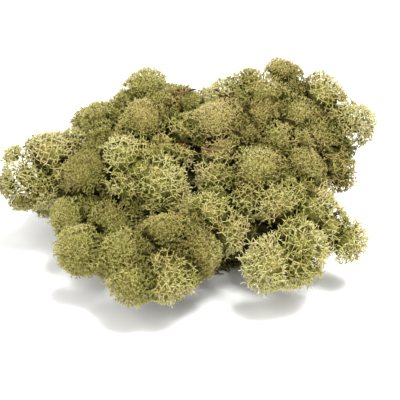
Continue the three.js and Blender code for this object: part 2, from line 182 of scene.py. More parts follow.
# The lobes of the old stems inside. From UPPER_FROM up they come near the clump's upper side.
OLD_STEMS = [
    (0, 2, 12, 38), (-32, -4, 16, 27), (32, -2, 16, 27), (-4, 26, 20, 27), (-60, -2, 36, 23),
    (-84, 4, 42, 17), (-54, 24, 46, 23), (-40, 30, 38, 28), (-52, -40, 28, 18), (-14, -50, 30, 20),
    (-24, -66, 26, 17), (-20, -16, 42, 20), (14, -30, 40, 16), (42, -46, 30, 18), (62, -30, 34, 16),
    (60, 8, 38, 27), (62, 34, 40, 24), (34, 42, 40, 30), (-6, 58, 38, 27), (-26, 10, 54, 24),
    (10, 14, 50, 24), (42, 14, 52, 24), (70, 14, 56, 18), (-28, 40, 62, 24), (20, 44, 64, 24),
    (62, 40, 66, 22), (76, 28, 72, 13), (50, 30, 78, 13), (88, 24, 66, 12),
    (66, 48, 95, 9), (56, 38, 88, 10), (46, 20, 76, 11), (86, 32, 78, 11), (88, -44, 37, 8),
]
UPPER_FROM = 34
# Painted light and shade on the old stems: their light mark is scaled by these, the lower ones deeper in
# painted shade.
UPPER_LIGHT = 0.85  # the share of their light that the upper ones keep
LOWER_LIGHT = 0.5

# Twig and needles: for each node its rods, as the three corners of a curve and a radius.
STICKS = {
    "twig": [
        ([(-14.4, 35, 93.8), (-5, 37.5, 95.8), (3.6, 41, 96)], 0.62),
        ([(-4.4, 38.2, 95.4), (-3.4, 38.6, 98.4), (-0.5, 39, 99.7)], 0.5),
    ],
    "needle_high": [([(-8.3, 4, 74.4), (-4.5, 3, 74.3), (-0.8, 1.5, 73.5)], 0.66)],
    "needle_low": [([(6.8, -11, 78.5), (12.3, -12, 77.5), (17.9, -12.5, 75.9)], 0.6)],
}

# Deep gaps between the heads, where whorls and skins are sunk and painted dark with shade: x, y, z and
# radius.
HOLLOWS = [
    (-1, -5, 59, 7), (6, -5, 63, 6), (5, 2, 77, 4.5), (32, -56, 26, 15), (38, -62, 42, 7),
    (-25, -44, 45, 6), (57, 8, 82, 5), (71, -14, 65, 8), (44, -54, 44, 8),
]

# Starts of the random draws. Each tuft adds its own number.
SWELLING_SEED = 5
FLORET_SEED = 400
OLD_SEED = 6000
TUFT_SEED = 7000

# Spread of what is drawn at random.
SIZE_SPREAD = (0.7, 1.35)  # smallest and largest floret or whorl, as a share of the usual one
ROUND_STRAY = 0.3  # how far one of several round a ring strays, as a share of the way to the next one
LARGE_WAVES = (12, 34)  # shortest and longest way from crest to crest, in the clump's large swellings
FINE_WAVES = (4, 9)  # and in its fine ones
WAVES = 14  # in a swelling

# Florets.
FLORET_APART = 7.4  # between the middles of neighbouring florets, along the lobe's surface
FLORET_SHARE = 0.14  # a floret's radius as a share of its lobe's, to which FLORET_LEAST is added
FLORET_LEAST = 2.5
FEWEST_FLORETS = 9  # on a lobe
FLORET_STRAY = 1.6  # how far a floret strays sideways
FLORET_OUT = 0.5  # how far it stands out of the lobe, with FLORET_UNEVEN either way
FLORET_UNEVEN = 1.2
FLORET_ROOM = 0.3  # between it and a stick's middle line
LUMPS = 3.8  # how far florets follow the large swellings, on a lobe with the radius LUMPS_FULL
LUMPS_FULL = 12
LUMPS_MOST = 1.3  # on a larger lobe at most, as a share of LUMPS
LUMPS_LOWEST = -1.5  # how far they sink with them at most
SEAM_APART = 6.0  # between neighbouring florets along a seam
SEAM_SIZES = (3.0, 5.4)  # smallest and largest radius of a floret there
SEAM_OUT = (1.4, 3.8)  # least and most that it stands out of the seam
SEAM_STRAY = 1.5  # how far it strays to either side
SMALLEST_SEAM = 3.0  # a ring with a smaller radius has no florets
CORE_SINK = 3.6  # how far the lobe's own ball lies below its surface

# The surface into which florets and cores blend.
MEETS = 4  # a ball that is farther off doesn't shape a lobe's surface
BLEND = 2.0  # how widely the creases between florets and between lobes are filled in
BLEND_RISE = 1.6  # how far that filling would lift the surface elsewhere
BLEND_END = 30  # a ball's weight changes no more beyond this distance
SURFACE_STEPS = 6  # towards the surface, each by SURFACE_STEP of the way that is left
SURFACE_STEP = 0.9
SURFACE_ENDS = (0.6, 1.4)  # nearest and farthest surface, as shares of the lobe's radius
SURFACE_SWELL = 0.8  # how far the fine swellings lift it
RISE_SHARE = 0.7  # the share of an arm's rise that the surface is lowered by, to make room
WHORL_STRAY = 0.45  # how far a whorl strays, as a share of what an even spread allows
CROWD = 3.0  # how far off a ball still shades the place beside it
CROWD_BARE = 1.3  # the crowding on a bare floret, which counts as none
OWN_EDGE = 0.8  # where another lobe's ball is nearer by more than this, the surface isn't the lobe's own

# Whorls: where they stand, and how near to the light they are, which is painted into their colour as light
# and shade.
FEWER = 2.4  # whorls of one storey to a whorl of the next one down
FEWEST_WHORLS = 6  # that a lower storey starts from
LARGER_BELOW = 0.2  # how much larger they are, for each storey down
RARELY_OUT = 5  # the power that keeps most of them low, while few stand out by the habit's ragged
RAGGED_SINK = 0.12  # the share of the habit's ragged that all of them are sunk by
INNERMOST = 0.3  # nearest to the lobe's middle, as a share of its radius
LOWEST = 1.2  # nearest to the ground
HOLLOW_EDGE = 0.4  # how deep in a hollow the top storey has ended at the latest
WHORL_SINK = 5  # how much deeper whorls stand in the middle of a hollow
FROM_MIDDLE = 0.7  # how much they point away from the lobe's middle, to 1 part square to the surface
DIMMER_BELOW = 0.08  # for each millimetre below the surface
DIMMER_CROWDED = 0.46  # deep between lobes
HOLLOW_DIMS = 2  # share of light lost by the depth in a hollow, which is 1 in its middle
HOLLOW_DARKEST = 0.8  # the largest share that is lost there
LIGHT_SWELL = 0.1  # how far the fine swellings change the light
LIGHT_UNEVEN = 0.08
LIGHT_ENDS = (0.1, 1.1)

# Arms and prongs. Where three numbers stand together, they are for the start, the bend and the end.
ARM_THINNER = 0.85  # an arm's radius at its bend, as a share of that at its start
ARM_LIGHT = (0.62, 0.8, 1.0)
REACH_SPREAD = (0.7, 1.25)
RISE_SPREAD = (0.2, 1.3)
BENT_OUT = 0.62  # where an arm bends, as a share of its reach
BENT_UP = 0.25  # and of its rise
ARM_ROOT = 0.2  # how deep it starts inside its whorl
PRONG_LENGTH = 0.45  # as a share of the habit's reach
PRONG_SPREAD = (0.6, 1.3)
PRONG_ASIDE = 0.85  # how far a prong leans sideways, for its length
PRONG_ONWARD = 0.6  # and how far it goes on as its arm grew
PRONG_THICK = 0.9  # as a share of the radius of its arm's end
PRONG_ROOT = 0.1
PRONG_LIGHT = (1.0, 1.1)  # at its start and its end

# Links and stalks.
LINK_FARTHEST = 1.7  # the farthest neighbour that is joined, in spacings
LINK_SAG = 0.35
LINK_LIGHT = (0.85, 0.8, 0.85)  # shares of the first whorl's light, the same again and the other's
LINK_THICK = (0.9, 0.75, 0.9)  # shares of an arm's radius at its start
STALK_LIGHT = (0.6, 0.3, 0.62)  # shares of the foot's light, of foot's and whorl's added, and the whorl's
STALK_THICK = (1.2, 1.05, 1.0)  # shares of an arm's radius at its start
STALK_BEND = (0.45, 0.55)  # shares of the foot's place and the whorl's in the place of the bend
STALK_STRAY = 0.4
FOOT_LIGHT = 0.5  # the share of a whorl's light that reaches its foot in the skin

# Skins.
SKIN_GRID = (14, 22)  # rows and columns of a lobe's skin
SKIN_FOCUS = 90  # the larger, the smaller the piece of surface that a corner follows
BURIED_MORE = 0.16  # what is added to the habit's solid where the lobe is inside a neighbour
SKIN_DENT = 0.35  # the deepest dent, as a share of the skin's depth
SKIN_CREASE = 0.15  # how much deeper it lies between lobes, as a share of that depth
SKIN_LEAST = 0.2  # nearest to the lobe's middle, as a share of its radius
HOLLOW_SINK = 7  # how much deeper a skin lies in the middle of a hollow
# The skin's painted shade, which stands for the shaded inside of the lobe.
SKIN_LIGHT = 0.48  # where it is neither dented nor crowded
DENT_DIMS = 0.3
CROWD_DIMS = 0.34
SKIN_HOLLOW_DIMS = 3  # as HOLLOW_DIMS

# The bed of old stems that are pressed flat on the ground.
SOLE = 3.0  # the height at which skins end, above the bed
BED_LOWEST = 0.3  # the lowest stems' height
BED_APART = 2.1  # between neighbouring stems, on average
BED_HALF = (2.5, 5.5)  # shortest and longest, from the middle to an end
BED_BEND = 0.25  # how far the ends are bent aside, as a share of that
BED_THICK = (0.4, 0.5, 0.35)  # radius at one end, the middle and the other end
BED_LIGHT = (0.25, 0.6)

# Sticks.
STICK_ROOM = 2.5  # no whorl stands closer to a stick's middle line
OVER_STICKS = np.array([0, -0.6, 0.8])  # the way out of the moss above the sticks
KEPT_CLEAR = (0, 2, 4, 6, 8)  # how far along that way the same room is kept
STICK_SPOTS = 8  # along a stick, where that room is measured
STICK_RINGS = 14
STICK_SIDES = 8
STICK_END = 0.78  # the share of its radius that a stick has at its ends
STICK_SWELL = 0.22  # the share that is added midway
KNOTS = 0.08  # how much its radius wavers, in waves with KNOT_TURN radians to its length
KNOT_TURN = 17


# -------------------------------- shapes

def unit(vectors):
    """Each row divided by its length."""
    return vectors / np.maximum(np.linalg.norm(vectors, axis=-1, keepdims=True), 1e-9)


def even_directions(count, random):
    """Directions spread evenly over a sphere: row i is turned i golden angles round the axis, at heights in
    equal steps, and the whole set is then turned at random."""
    i = np.arange(count) + 0.5
    height = 1 - 2 * i / count
    ring = np.sqrt(1 - height**2)
    angle = GOLDEN_ANGLE * i
    rows = np.stack([ring * np.cos(angle), ring * np.sin(angle), height], 1)
    turn, _ = np.linalg.qr(random.normal(size=(3, 3)))
    return rows @ turn


def curve_through(corners, count):
    """Points along the curve from the first corner to the last that the middle one draws aside: a quadratic
    in the share t of the way, (1-t)^2 of the first, 2t(1-t) of the middle and t^2 of the last."""
    first, middle, last = np.array(corners, float)
    t = np.linspace(0, 1, count)[:, None]
    return (1 - t) ** 2 * first + 2 * t * (1 - t) * middle + t**2 * last


def swelling(places, shortest, longest):
    """From about -1 to 1 at each place: a sum of cosines along random lines, from the shortest to the
    longest way from crest to crest, so that the clump swells and sinks without a pattern."""
    random = np.random.default_rng(SWELLING_SEED)
    lines = unit(random.normal(size=(WAVES, 3))) * 2 * np.pi / random.uniform(shortest, longest, (WAVES, 1))
    shifts = random.uniform(0, 2 * np.pi, WAVES)
    return np.cos(places @ lines.T + shifts).sum(1) * (0.5 / WAVES) ** 0.5


def sideways(outward, random):
    """For each outward direction, two directions square to it and to each other, turned at random."""
    first = unit(np.cross(outward, random.normal(size=outward.shape)))
    return first, np.cross(outward, first)


def florets_of(lobe, random):
    """A lobe's florets: small balls at even directions, that stand out where the clump swells."""
    centre, radius = lobe[:3], lobe[3]
    size = FLORET_SHARE * radius + FLORET_LEAST
    count = max(FEWEST_FLORETS, int(4 * np.pi * radius**2 / FLORET_APART**2))
    ways = even_directions(count, random)
    ways = unit(ways + random.normal(scale=FLORET_STRAY / radius, size=ways.shape))
    sizes = size * random.uniform(*SIZE_SPREAD, count)
    lumps = LUMPS * min(LUMPS_MOST, radius / LUMPS_FULL) * swelling(centre + radius * ways, *LARGE_WAVES)
    uneven = random.uniform(-FLORET_UNEVEN, FLORET_UNEVEN, count)
    tops = radius + FLORET_OUT + np.maximum(lumps, LUMPS_LOWEST) + uneven
    middles = centre + (tops - sizes)[:, None] * ways
    return np.column_stack([middles, sizes])


def florets_between(lobe, neighbour, random):
    """Florets along the ring where two lobes' surfaces meet, so that no deep crease is left there. The
    ring's plane lies (d^2 + r^2 - s^2) / 2d from the first middle, for radii r and s and middles d apart."""
    axis = neighbour[:3] - lobe[:3]
    apart = np.linalg.norm(axis)
    plane = (apart**2 + lobe[3] ** 2 - neighbour[3] ** 2) / (2 * apart)
    ring = lobe[3] ** 2 - plane**2
    if apart > lobe[3] + neighbour[3] or ring < SMALLEST_SEAM**2:
        return np.empty((0, 4))
    ring = ring**0.5
    count = int(2 * np.pi * ring / SEAM_APART) + 1
    first, second = sideways(axis[None] / apart, random)
    step = np.arange(count) + random.uniform(-ROUND_STRAY, ROUND_STRAY, count)
    angle = 2 * np.pi * step[:, None] / count
    spoke = np.cos(angle) * first + np.sin(angle) * second
    sizes = random.uniform(*SEAM_SIZES, count)
    shift = random.uniform(-SEAM_STRAY, SEAM_STRAY, (count, 1))
    out = ring - sizes + random.uniform(*SEAM_OUT, count)
    middles = lobe[:3] + (plane + shift) * axis / apart + out[:, None] * spoke
    return np.column_stack([middles, sizes])


def skin_of(places, balls):
    """How far each place lies outside the blended skin of the balls, which way is out there, and how far it
    lies from each ball. A ball counts with the weight exp(-distance / BLEND)."""
    away = places[:, None] - balls[None, :, :3]
    length = np.linalg.norm(away, axis=2) + 1e-9
    apart = length - balls[None, :, 3]
    weight = np.exp(-np.clip(apart, -BLEND_END, BLEND_END) / BLEND)
    outward = unit(((weight / length)[..., None] * away).sum(1))
    return -BLEND * np.log(weight.sum(1)), outward, apart


def clear_of_sticks(places, room):
    """True for each place with this much room between it and the twig and the needles, and the space over
    them: they lie on top of the moss."""
    rods = [corners for rods in STICKS.values() for corners, _ in rods]
    lines = np.concatenate([curve_through(corners, STICK_SPOTS) for corners in rods])
    taken = np.concatenate([lines + rise * OVER_STICKS for rise in KEPT_CLEAR])
    return np.linalg.norm(places[:, None] - taken[None], axis=2).min(1) > room


def depth_in_hollows(places):
    """How far each place lies inside a hollow, from 0 at its edge to 1 at its middle."""
    inside = [1 - np.linalg.norm(places - np.array(middle), axis=1) / radius for *middle, radius in HOLLOWS]
    return np.clip(np.max(inside, axis=0), 0, 1)


def stem_triangles(rings, sides, pointed):
    """The triangles of one stem: its foot, its wall and its end. Each ring's corners follow those of the one
    before, and the single corner of a pointed stem comes last."""
    k = np.arange(sides)
    after = (k + 1) % sides
    hub = np.zeros(sides - 2, int)
    last = sides * (rings - 1)
    faces = [np.stack([hub, k[2:], k[1:-1]], 1)]
    for low in range(0, last, sides):
        faces.append(np.stack([low + k, low + after, low + after + sides], 1))
        faces.append(np.stack([low + k, low + after + sides, low + k + sides], 1))
    if pointed:
        faces.append(np.stack([last + k, last + after, np.full(sides, last + sides)], 1))
    else:
        faces.append(last + np.stack([hub, k[1:-1], k[2:]], 1))
    return np.concatenate(faces)


class Skein:
    """Stems and skins gathered into one mesh: corners, triangles, and three numbers for each corner: along,
    how near it is to the light, which the materials paint into the colour as light and shade; tint, which
    varies from stem to stem; and ochre."""

    def __init__(self):
        self.corners, self.triangles, self.marks = [], [], []
        self.count = 0

    def add(self, corners, triangles, along, tint, ochre):
        """One set of corners and the triangles between them, counted from its own first corner."""
        self.corners.append(corners)
        self.triangles.append(triangles + self.count)
        self.marks.append(np.stack(np.broadcast_arrays(along, tint, ochre), 1))
        self.count += len(corners)

    def add_stems(self, paths, radii, along, tint, ochre, sides=3):
        """Tubes, one for each row of paths: at each of a path's points stands a ring of the given radius,
        square to the path's chord. Where the last radius is 0, the last ring is a single corner."""
        stems, points, _ = paths.shape
        pointed = not radii[:, -1].any()
        rings = points - 1 if pointed else points
        chord = unit(paths[:, -1] - paths[:, 0])
        across = unit(np.cross(chord, chord[:, [1, 2, 0]] + ASKEW))
        side = np.cross(chord, across)
        turns = np.arange(sides) * 2 * np.pi / sides
        spoke = np.cos(turns)[:, None] * across[:, None] + np.sin(turns)[:, None] * side[:, None]
        corners = paths[:, :rings, None] + radii[:, :rings, None, None] * spoke[:, None]
        corners = corners.reshape(stems, rings * sides, 3)
        light = np.repeat(along[:, :rings], sides, axis=1)
        if pointed:
            corners = np.concatenate([corners, paths[:, -1:]], 1)
            light = np.concatenate([light, along[:, -1:]], 1)
        each = corners.shape[1]
        triangles = stem_triangles(rings, sides, pointed) + each * np.arange(stems)[:, None, None]
        tint = np.repeat(tint, each)
        self.add(corners.reshape(-1, 3), triangles.reshape(-1, 3), light.ravel(), tint, ochre)


# A lobe's blended surface at many directions from its middle: how far out it lies, which way is out there,
# how crowded it is (0 on a bare floret, 1 deep between lobes), how deep in a hollow, and whether it is the
# lobe's own.
Surface = namedtuple("Surface", "way reach outward crowded hollow mine")

# One storey of a lobe: each whorl's place, which way is out there, its direction from the lobe's middle, how
# near it is to the light, its tint and its size.
Whorls = namedtuple("Whorls", "place outward way light tint size")


def surface_of(lobe, own, others, habit, random):
    """The lobe's surface, found in steps that start at the lobe's radius. Whorls stand on it."""
    centre, radius = lobe[:3], lobe[3]
    nearest, farthest = SURFACE_ENDS
    count = int(4 * np.pi * (radius + 1) ** 2 / habit.spacing**2)
    balls = np.concatenate([own, others])
    way = even_directions(count, random)
    way = unit(way + random.normal(scale=WHORL_STRAY / count**0.5, size=way.shape))
    reach = np.full(count, radius)
    for _ in range(SURFACE_STEPS):
        off, outward, apart = skin_of(centre + reach[:, None] * way, balls)
        reach = np.clip(reach - SURFACE_STEP * off, nearest * radius, farthest * radius)
    crowded = np.clip(np.log(np.exp((BLEND_RISE - apart) / CROWD).sum(1)) - CROWD_BARE, 0, 1)
    place = centre + reach[:, None] * way
    mine = apart[:, : len(own)].min(1) < apart.min(1) + OWN_EDGE
    reach = np.where(mine, reach, np.minimum(reach, radius))
    reach = reach + SURFACE_SWELL * swelling(place, *FINE_WAVES) - RISE_SHARE * habit.rise - BLEND_RISE
    return Surface(way, reach, outward, crowded, depth_in_hollows(place), mine)


def whorls_picked(surface, level, random):
    """Which of the surface's directions have a whorl: in the top storey all the lobe's own ones that aren't
    in a hollow, and fewer in each lower storey."""
    own = np.flatnonzero(surface.mine)
    if level == 0:
        return own[surface.hollow[own] < random.uniform(0, HOLLOW_EDGE, len(own))]
    sparse = even_directions(max(FEWEST_WHORLS, int(len(surface.way) / FEWER**level)), random)
    return np.intersect1d(own, (sparse @ surface.way.T).argmax(1))


def light_at(place, depth, crowded, hollow, random):
    """How near to the light each place is, as painted light and shade: about 1 on the surface, and less,
    which is painted shade, below it, where it is crowded and in hollows."""
    light = 1 - DIMMER_BELOW * depth - DIMMER_CROWDED * crowded + LIGHT_SWELL * swelling(place, *FINE_WAVES)
    light = light + random.uniform(-LIGHT_UNEVEN, LIGHT_UNEVEN, len(place))
    return np.clip(light * (1 - np.minimum(HOLLOW_DARKEST, HOLLOW_DIMS * hollow)), *LIGHT_ENDS)


def storey_of(surface, lobe, habit, level, random):
    """The whorls of one storey, larger in each lower one. They are sunk in the hollows and painted dark with
    shade there, and none stands on a stick or on the ground."""
    pick = whorls_picked(surface, level, random)
    depth, hollow = habit.storeys[level], surface.hollow[pick]
    ragged = habit.ragged * (random.uniform(0, 1, len(pick)) ** RARELY_OUT - RAGGED_SINK)
    stand_out = ragged - WHORL_SINK * hollow
    far = np.maximum(surface.reach[pick] - depth + stand_out, INNERMOST * lobe[3])
    place = lobe[:3] + far[:, None] * surface.way[pick]
    light = light_at(place, depth, surface.crowded[pick], hollow, random)
    keep = clear_of_sticks(place, STICK_ROOM) & (place[:, 2] > LOWEST)
    return Whorls(
        place[keep],
        unit(surface.outward[pick] + FROM_MIDDLE * surface.way[pick])[keep],
        surface.way[pick][keep],
        light[keep],
        random.uniform(-1, 1, len(pick))[keep],
        ((1 + LARGER_BELOW * level) * random.uniform(*SIZE_SPREAD, len(pick)))[keep],
    )


def add_arms(skein, whorls, habit, prongs, ochre, random):
    """On each whorl, arms like a star. An arm without prongs is a straight spike. One that carries them
    leaves sideways and bends up to its end."""
    count = len(whorls.place)
    first, second = sideways(whorls.outward, random)
    start = random.uniform(0, 2 * np.pi, count)
    used = [0, 1, 2] if prongs else [0, 2]
    size = whorls.size[:, None]
    thick = size**0.5 * [habit.root, ARM_THINNER * habit.root, habit.tip if prongs else 0]
    light = whorls.light[:, None] * ARM_LIGHT
    for arm in range(habit.arms):
        angle = start + 2 * np.pi * (arm + random.uniform(-ROUND_STRAY, ROUND_STRAY, count)) / habit.arms
        away = np.cos(angle)[:, None] * first + np.sin(angle)[:, None] * second
        reach = size * habit.reach * random.uniform(*REACH_SPREAD, (count, 1))
        rise = size * habit.rise * random.uniform(*RISE_SPREAD, (count, 1))
        bend = whorls.place + BENT_OUT * reach * away + BENT_UP * rise * whorls.outward
        end = whorls.place + reach * away + rise * whorls.outward
        paths = np.stack([whorls.place - ARM_ROOT * whorls.outward, bend, end], 1)
        skein.add_stems(paths[:, used], thick[:, used], light[:, used], whorls.tint, ochre)
        grow = unit(end - bend)
        prong_first, prong_second = sideways(grow, random)
        for prong in range(prongs):
            spin = start + 2 * np.pi * prong / prongs + arm
            lean = np.cos(spin)[:, None] * prong_first + np.sin(spin)[:, None] * prong_second
            longer = PRONG_LENGTH * size * habit.reach * random.uniform(*PRONG_SPREAD, (count, 1))
            top = end + (PRONG_ASIDE * lean + PRONG_ONWARD * grow) * longer
            paths = np.stack([end - PRONG_ROOT * grow, top], 1)
            radii = np.stack([PRONG_THICK * thick[:, 2], np.zeros(count)], 1)
            skein.add_stems(paths, radii, whorls.light[:, None] * PRONG_LIGHT, whorls.tint, ochre)


def add_links(skein, whorls, habit, ochre):
    """Stems that sag a little between neighbouring whorls, each pair joined once."""
    apart = np.linalg.norm(whorls.place[:, None] - whorls.place[None], axis=2)
    near = np.argsort(apart, axis=1)[:, 1 : habit.links + 1]
    here = np.repeat(np.arange(len(near)), near.shape[1])
    pairs = np.unique(np.sort(np.stack([here, near.ravel()], 1), axis=1), axis=0)
    one, other = pairs[apart[pairs[:, 0], pairs[:, 1]] < LINK_FARTHEST * habit.spacing].T
    middle = 0.5 * (whorls.place[one] + whorls.place[other]) - LINK_SAG * whorls.outward[one]
    light = np.stack([whorls.light[one], whorls.light[one], whorls.light[other]], 1) * LINK_LIGHT
    paths = np.stack([whorls.place[one], middle, whorls.place[other]], 1)
    radii = np.tile(habit.root * np.array(LINK_THICK), (len(one), 1))
    skein.add_stems(paths, radii, light, whorls.tint[one], ochre)


def add_stalks(skein, whorls, foot, foot_light, habit, ochre, random):
    """A stalk from each foot up to its whorl, bent where the moss is open enough to show it."""
    of_foot, of_whorl = STALK_BEND
    bend = of_foot * foot + of_whorl * whorls.place + STALK_STRAY * random.normal(size=foot.shape)
    light = np.stack([foot_light, foot_light + whorls.light, whorls.light], 1) * STALK_LIGHT
    radii = habit.root * whorls.size[:, None] ** 0.5 * STALK_THICK
    used = [0, 1, 2] if habit.prongs else [0, 2]
    paths = np.stack([foot, bend, whorls.place], 1)
    skein.add_stems(paths[:, used], radii[:, used], light[:, used], whorls.tint, ochre)


def add_lobe(skein, lobe, own, others, habit, ochre, random):
    """One lobe: whorls on its surface and in storeys below it, and a stalk from each whorl to the nearest
    one of the storey below, or from the lowest storey into the skin."""
    surface = surface_of(lobe, own, others, habit, random)
    storeys = [storey_of(surface, lobe, habit, level, random) for level in range(len(habit.storeys))]
    storeys = [whorls for whorls in storeys if len(whorls.place)]
    if storeys and len(storeys[0].place) > habit.links > 0:
        add_links(skein, storeys[0], habit, ochre)
    for level, whorls in enumerate(storeys):
        add_arms(skein, whorls, habit, 0 if level else habit.prongs, ochre, random)
        if level + 1 < len(storeys):
            below = storeys[level + 1]
            nearest = (whorls.way @ below.way.T).argmax(1)
            add_stalks(skein, whorls, below.place[nearest], below.light[nearest], habit, ochre, random)
        else:
            foot = whorls.place - skin_depth(habit, lobe) * whorls.way
            add_stalks(skein, whorls, foot, FOOT_LIGHT * whorls.light, habit, ochre, random)
    add_skin(skein, lobe, surface, habit, ochre, random)


def skin_depth(habit, lobe):
    """How far below the lobe's surface its skin lies: the habit's depth, or less in a small lobe."""
    return min(habit.skin, (1 - habit.solid) * lobe[3])


def skin_sphere():
    """The directions of a skin's corners, in rows from pole to pole that each turn a little further, and the
    triangles between them."""
    rows, columns = SKIN_GRID
    down = (np.pi * np.arange(1, rows) / rows)[:, None]
    turn = (2 * np.pi * np.arange(columns) / columns)[None] + down
    ring = np.broadcast_arrays(np.sin(down) * np.cos(turn), np.sin(down) * np.sin(turn), np.cos(down))
    way = np.concatenate([[[0, 0, 1.0]], np.stack(ring, 2).reshape(-1, 3), [[0, 0, -1.0]]])
    row, column = np.meshgrid(np.arange(rows - 2), np.arange(columns), indexing="ij")
    here, beside = 1 + row * columns + column, 1 + row * columns + (column + 1) % columns
    under, across = here + columns, beside + columns
    walls = np.stack([here, under, across, here, across, beside], 2).reshape(-1, 3)
    top = np.stack([np.zeros(columns, int), here[0], beside[0]], 1)
    foot = np.stack([np.full(columns, len(way) - 1), across[-1], under[-1]], 1)
    return way, np.concatenate([top, walls, foot])


def add_skin(skein, lobe, surface, habit, ochre, random):
    """A rough closed surface below the whorls, coloured dark with painted shade. Each corner lies as far out
    as the surface does on average near its direction, less the habit's skin depth and a random dent. Inside
    a neighbour it lies at a share of the lobe's radius, so that the two skins reach each other. Its painted
    shade is darker in the dents, where the surface is crowded and in hollows, and it ends at the height
    SOLE."""
    way, triangles = skin_sphere()
    weight = np.exp(SKIN_FOCUS * (way @ surface.way.T - 1))
    weight /= weight.sum(1, keepdims=True)
    depth = skin_depth(habit, lobe)
    level = np.where(surface.mine, surface.reach - depth, (habit.solid + BURIED_MORE) * lobe[3])
    out, crowded = weight @ level, weight @ surface.crowded
    hollow = depth_in_hollows(lobe[:3] + (out + depth)[:, None] * way)
    dent = random.uniform(0, SKIN_DENT, len(out))
    out = out - depth * (dent + SKIN_CREASE * crowded) - HOLLOW_SINK * hollow
    out = np.maximum(out, SKIN_LEAST * lobe[3])
    # Painted shade: darker in the dents, where the surface is crowded and in hollows.
    light = SKIN_LIGHT - DENT_DIMS * dent - CROWD_DIMS * crowded
    light = light * (1 - np.minimum(1, SKIN_HOLLOW_DIMS * hollow))
    corners = lobe[:3] + out[:, None] * way
    corners[:, 2] = np.maximum(corners[:, 2], SOLE)
    skein.add(corners, triangles, light, random.uniform(-1, 1, len(out)), ochre)


def add_bed(skein, lobe, random):
    """Old stems pressed flat where a lobe meets the ground. They lie every way, no higher than SOLE, over
    the disc of radius (r^2 - (z - SOLE)^2)^0.5 that this height cuts from the lobe."""
    x, y, z, radius = lobe
    disc = radius**2 - (z - SOLE) ** 2
    if disc <= 0:
        return
    count = int(np.pi * disc / BED_APART**2)
    turn, heading = random.uniform(0, 2 * np.pi, (2, count))
    far = (disc * random.uniform(0, 1, count)) ** 0.5
    height = random.uniform(BED_LOWEST, SOLE, count)
    middle = np.stack([x + far * np.cos(turn), y + far * np.sin(turn), height], 1)
    along = np.stack([np.cos(heading), np.sin(heading), np.zeros(count)], 1)
    across = np.stack([-along[:, 1], along[:, 0], along[:, 2]], 1)
    half = random.uniform(*BED_HALF, (count, 1))
    bend = BED_BEND * half * random.uniform(-1, 1, (count, 1)) * across
    paths = np.stack([middle - half * along + bend, middle, middle + half * along + bend], 1)
    light = np.tile(random.uniform(*BED_LIGHT, (count, 1)), (1, 3))
    skein.add_stems(paths, np.tile(BED_THICK, (count, 1)), light, random.uniform(-1, 1, count), 0)


def mesh_of(name, skein, material, node):
    """The skein as one piece in metres, with its marks as attributes. Nothing of it is below the ground."""
    corners = np.concatenate(skein.corners).astype(np.float32)
    triangles = np.concatenate(skein.triangles).astype(np.int32)
    marks = np.concatenate(skein.marks).astype(np.float32)
    corners[:, 2] = np.maximum(corners[:, 2], 0)
    mesh = bpy.data.meshes.new(name)
    mesh.vertices.add(len(corners))
    mesh.vertices.foreach_set("co", (corners * MM).ravel())
    mesh.loops.add(triangles.size)
    mesh.loops.foreach_set("vertex_index", triangles.ravel())
    mesh.polygons.add(len(triangles))
    mesh.polygons.foreach_set("loop_start", np.arange(0, triangles.size, 3, dtype=np.int32))
    mesh.update(calc_edges=True)
    # along carries the painted light and shade on the moss and the old stems, and the place along the rod on
    # the sticks.
    for label, values in zip(("along", "tint", "ochre"), marks.T):
        mesh.attributes.new(label, "FLOAT", "POINT").data.foreach_set("value", values.copy())
    mesh.materials.append(material)
    piece = bpy.data.objects.new(name, mesh)
    bpy.context.scene.collection.objects.link(piece)
    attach(piece, "root")
    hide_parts(node)


# -------------------------------- materials

# Colours along the painted light mark, from near black painted shade deep inside the clump to the pale tips.
GREEN_STOPS = [
    (0.0, (0.012, 0.012, 0.005)),
    (0.3, (0.155, 0.148, 0.033)),
    (0.6, (0.385, 0.36, 0.108)),
    (1.0, (0.58, 0.545, 0.285)),
]
OCHRE_STOPS = [
    (0.0, (0.013, 0.011, 0.005)),
    (0.3, (0.18, 0.13, 0.038)),
    (0.6, (0.41, 0.315, 0.122)),
    (1.0, (0.58, 0.46, 0.26)),
]
OLD_STOPS = [(0.0, (0.01, 0.01, 0.004)), (0.4, (0.13, 0.12, 0.035)), (1.0, (0.42, 0.39, 0.13))]
STICK_STOPS = {
    "twig": [
        (0.0, (0.02, 0.01, 0.008)),
        (0.2, (0.04, 0.018, 0.013)),
        (0.35, (0.16, 0.07, 0.05)),
        (0.65, (0.20, 0.095, 0.07)),
        (0.78, (0.03, 0.015, 0.011)),
        (1.0, (0.012, 0.008, 0.006)),
    ],
    "needle_high": [(0.0, (0.05, 0.02, 0.013)), (0.5, (0.15, 0.052, 0.032)), (1.0, (0.10, 0.04, 0.025))],
    "needle_low": [(0.0, (0.21, 0.14, 0.072)), (0.35, (0.15, 0.082, 0.05)), (1.0, (0.10, 0.055, 0.038))],
}

NOISE_DETAIL = 3
MOTTLE = (800, 0.7)  # waves to a metre, and how far the mottle swings the place on the ramps
PATCHES = (70, 1.8)  # waves to a metre, and how far the ochre patches swing the mix
TINT_SHIFT = 0.05  # how far the tint moves a stem along the ramps
TINT_OCHRE = 0.15  # and how far towards ochre
FLECK = (0.3, 0.85)  # a fleck's brightness: the grain times the first, and the second added
GRAIN_STRENGTH = 0.35
GRAIN_HEIGHT = 0.0002  # metres


def new_material(name):
    """A material with only a Principled shader and its output."""
    material = bpy.data.materials.new(name)
    material.use_nodes = True
    return material, material.node_tree.nodes, material.node_tree.links


